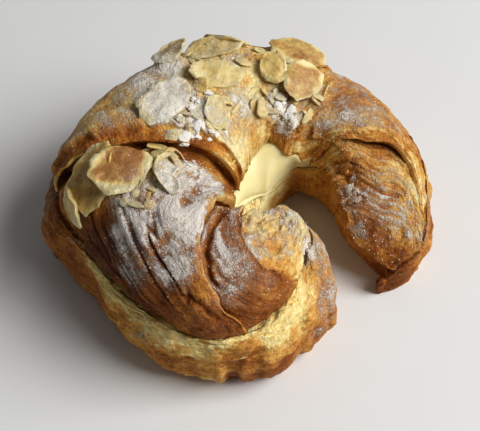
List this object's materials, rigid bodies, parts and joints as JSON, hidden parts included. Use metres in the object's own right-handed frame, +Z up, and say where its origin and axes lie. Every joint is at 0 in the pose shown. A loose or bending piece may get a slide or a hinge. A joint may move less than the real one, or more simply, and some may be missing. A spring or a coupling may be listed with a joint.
{
  "type": "almond croissant",
  "caption": "Curved, almost ring-shaped almond croissant, sliced level, filled with custard cream and topped with flaked almonds and icing sugar.",
  "frame": {"origin": "centre of the croissant's box in plan, on the surface it rests on", "axes": "+Z up; +X from the broad left side towards the slim right arm; -Y towards the blunt front end that shows the swirl"},
  "size_m": [0.1398, 0.1274, 0.0652],
  "materials": {
    "lid_crust": "baked laminated pastry, golden to dark brown, flaky, with drifts of icing sugar",
    "base_crust": "baked laminated pastry, golden, with a band of pale soft crumb along the cut",
    "custard": "smooth set custard cream with a soft sheen",
    "almond": "flaked almond, ivory with a tan rim, toasted on some flakes, dusted with icing sugar"
  },
  "bodies": {
    "root": {"croissant_base": "base_crust", "custard_cream": "custard", "croissant_lid": "lid_crust", "almond_flake_01": "almond", "almond_flake_02": "almond", "almond_flake_03": "almond", "almond_flake_04": "almond", "almond_flake_05": "almond", "almond_flake_06": "almond", "almond_flake_07": "almond", "almond_flake_08": "almond", "almond_flake_09": "almond", "almond_flake_10": "almond", "almond_flake_11": "almond", "almond_flake_12": "almond", "almond_flake_13": "almond", "almond_flake_14": "almond"}
  },
  "joints": []
}
